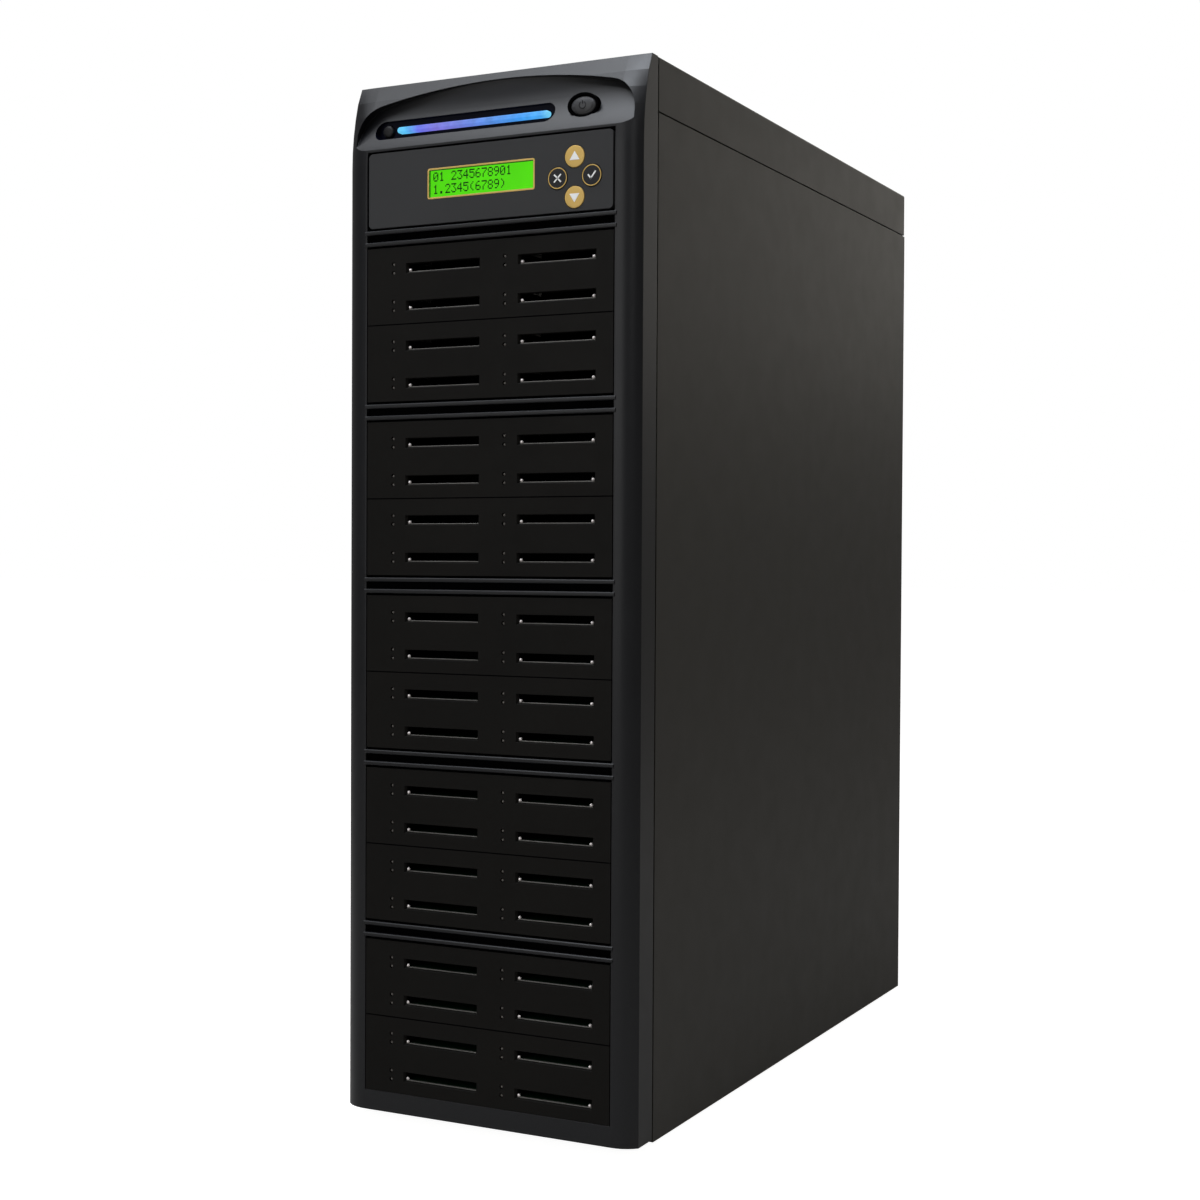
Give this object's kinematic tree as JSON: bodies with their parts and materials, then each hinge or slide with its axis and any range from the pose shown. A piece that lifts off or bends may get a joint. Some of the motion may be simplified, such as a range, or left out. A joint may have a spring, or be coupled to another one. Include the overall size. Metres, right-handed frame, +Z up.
{
  "type": "memory card duplicator",
  "caption": "Tall steel tower that copies memory cards: a moulded bezel with a lit header and a display with keys, above stacked card bays with slots and indicators.",
  "frame": {"origin": "floor level, in the middle of the footprint", "axes": "+X to the right seen from the front, +Y to the back, +Z up"},
  "size_m": [0.176, 0.4412, 0.5625],
  "materials": {
    "bezel_plastic": "satin moulded",
    "faceplate_plastic": "fine grained",
    "panel_plastic": "fine grained",
    "case_paint": "fine textured powder coat",
    "zinc_steel": "zinc plated",
    "circuit_board": "solder resist",
    "black_plastic": "moulded",
    "light_guide": "frosted, lit",
    "window": "clear",
    "display": "lit display in a metal frame",
    "gold_key": "metallic",
    "black_key": "smooth",
    "rubber": "matt",
    "pin_metal": "plated",
    "loom": "flat cable"
  },
  "bodies": {
    "case": {"base_pan": "case_paint", "bay_wall_left": "zinc_steel", "bay_wall_right": "zinc_steel", "card_faceplate_01": "faceplate_plastic", "card_faceplate_02": "faceplate_plastic", "card_faceplate_03": "faceplate_plastic", "card_faceplate_04": "faceplate_plastic", "card_faceplate_05": "faceplate_plastic", "card_faceplate_06": "faceplate_plastic", "card_faceplate_07": "faceplate_plastic", "card_faceplate_08": "faceplate_plastic", "card_faceplate_09": "faceplate_plastic", "card_faceplate_10": "faceplate_plastic", "card_frames": "zinc_steel", "card_guides": "black_plastic", "card_headers": "black_plastic", "control_panel": "panel_plastic", "controller_board": "circuit_board", "controller_frame": "zinc_steel", "data_loom": "loom", "fan_frame_lower": "black_plastic", "fan_frame_upper": "black_plastic", "fan_guards": "zinc_steel", "front_bezel": "bezel_plastic", "front_plate": "case_paint", "header_board": "circuit_board", "header_switches": "black_plastic", "inlet_pins": "pin_metal", "key_board": "circuit_board", "key_switches": "black_plastic", "lcd_board": "circuit_board", "lcd_display": "display", "lcd_window": "window", "left_side_panel": "case_paint", "light_bar": "light_guide", "mains_inlet": "black_plastic", "power_loom": "loom", "reader_boards": "circuit_board", "rear_panel": "case_paint", "rear_screws": "zinc_steel", "right_side_panel": "case_paint", "rubber_feet": "rubber", "status_leds": "black_plastic", "supply_case": "zinc_steel", "supply_fan_frame": "black_plastic", "thumbscrews": "zinc_steel", "top_cover": "case_paint"},
    "power_button": {"power_button": "bezel_plastic"},
    "reset_button": {"reset_button": "bezel_plastic"},
    "key_up": {"key_up": "gold_key"},
    "key_down": {"key_down": "gold_key"},
    "key_escape": {"key_escape": "black_key"},
    "key_confirm": {"key_confirm": "black_key"},
    "power_rocker": {"power_rocker": "black_plastic"},
    "fan_rotor_upper": {"fan_rotor_upper": "black_plastic"},
    "fan_rotor_lower": {"fan_rotor_lower": "black_plastic"},
    "supply_fan_rotor": {"supply_fan_rotor": "black_plastic"}
  },
  "joints": [
    {"name": "power_press", "type": "slide", "parent": "case", "child": "power_button", "axis": [0, 1, 0], "range_m": [0, 0.0015], "stiffness_N_per_m": 1000},
    {"name": "reset_press", "type": "slide", "parent": "case", "child": "reset_button", "axis": [0, 1, 0], "range_m": [0, 0.0012], "stiffness_N_per_m": 1000},
    {"name": "key_up_press", "type": "slide", "parent": "case", "child": "key_up", "axis": [0, 1, 0], "range_m": [0, 0.0008], "stiffness_N_per_m": 1500},
    {"name": "key_down_press", "type": "slide", "parent": "case", "child": "key_down", "axis": [0, 1, 0], "range_m": [0, 0.0008], "stiffness_N_per_m": 1500},
    {"name": "key_escape_press", "type": "slide", "parent": "case", "child": "key_escape", "axis": [0, 1, 0], "range_m": [0, 0.0008], "stiffness_N_per_m": 1500},
    {"name": "key_confirm_press", "type": "slide", "parent": "case", "child": "key_confirm", "axis": [0, 1, 0], "range_m": [0, 0.0008], "stiffness_N_per_m": 1500},
    {"name": "mains_rocker_tilt", "type": "hinge", "parent": "case", "child": "power_rocker", "pos_m": [0.048, 0.21155, 0.0516], "axis": [1, 0, 0], "range_deg": [0, 14]},
    {"name": "fan_upper_spin", "type": "hinge", "parent": "case", "child": "fan_rotor_upper", "pos_m": [0, 0.21055, 0.42], "axis": [0, 1, 0], "continuous": true},
    {"name": "fan_lower_spin", "type": "hinge", "parent": "case", "child": "fan_rotor_lower", "pos_m": [0, 0.21055, 0.23], "axis": [0, 1, 0], "continuous": true},
    {"name": "supply_fan_spin", "type": "hinge", "parent": "case", "child": "supply_fan_rotor", "pos_m": [-0.028, 0.20955, 0.048], "axis": [0, 1, 0], "continuous": true}
  ]
}
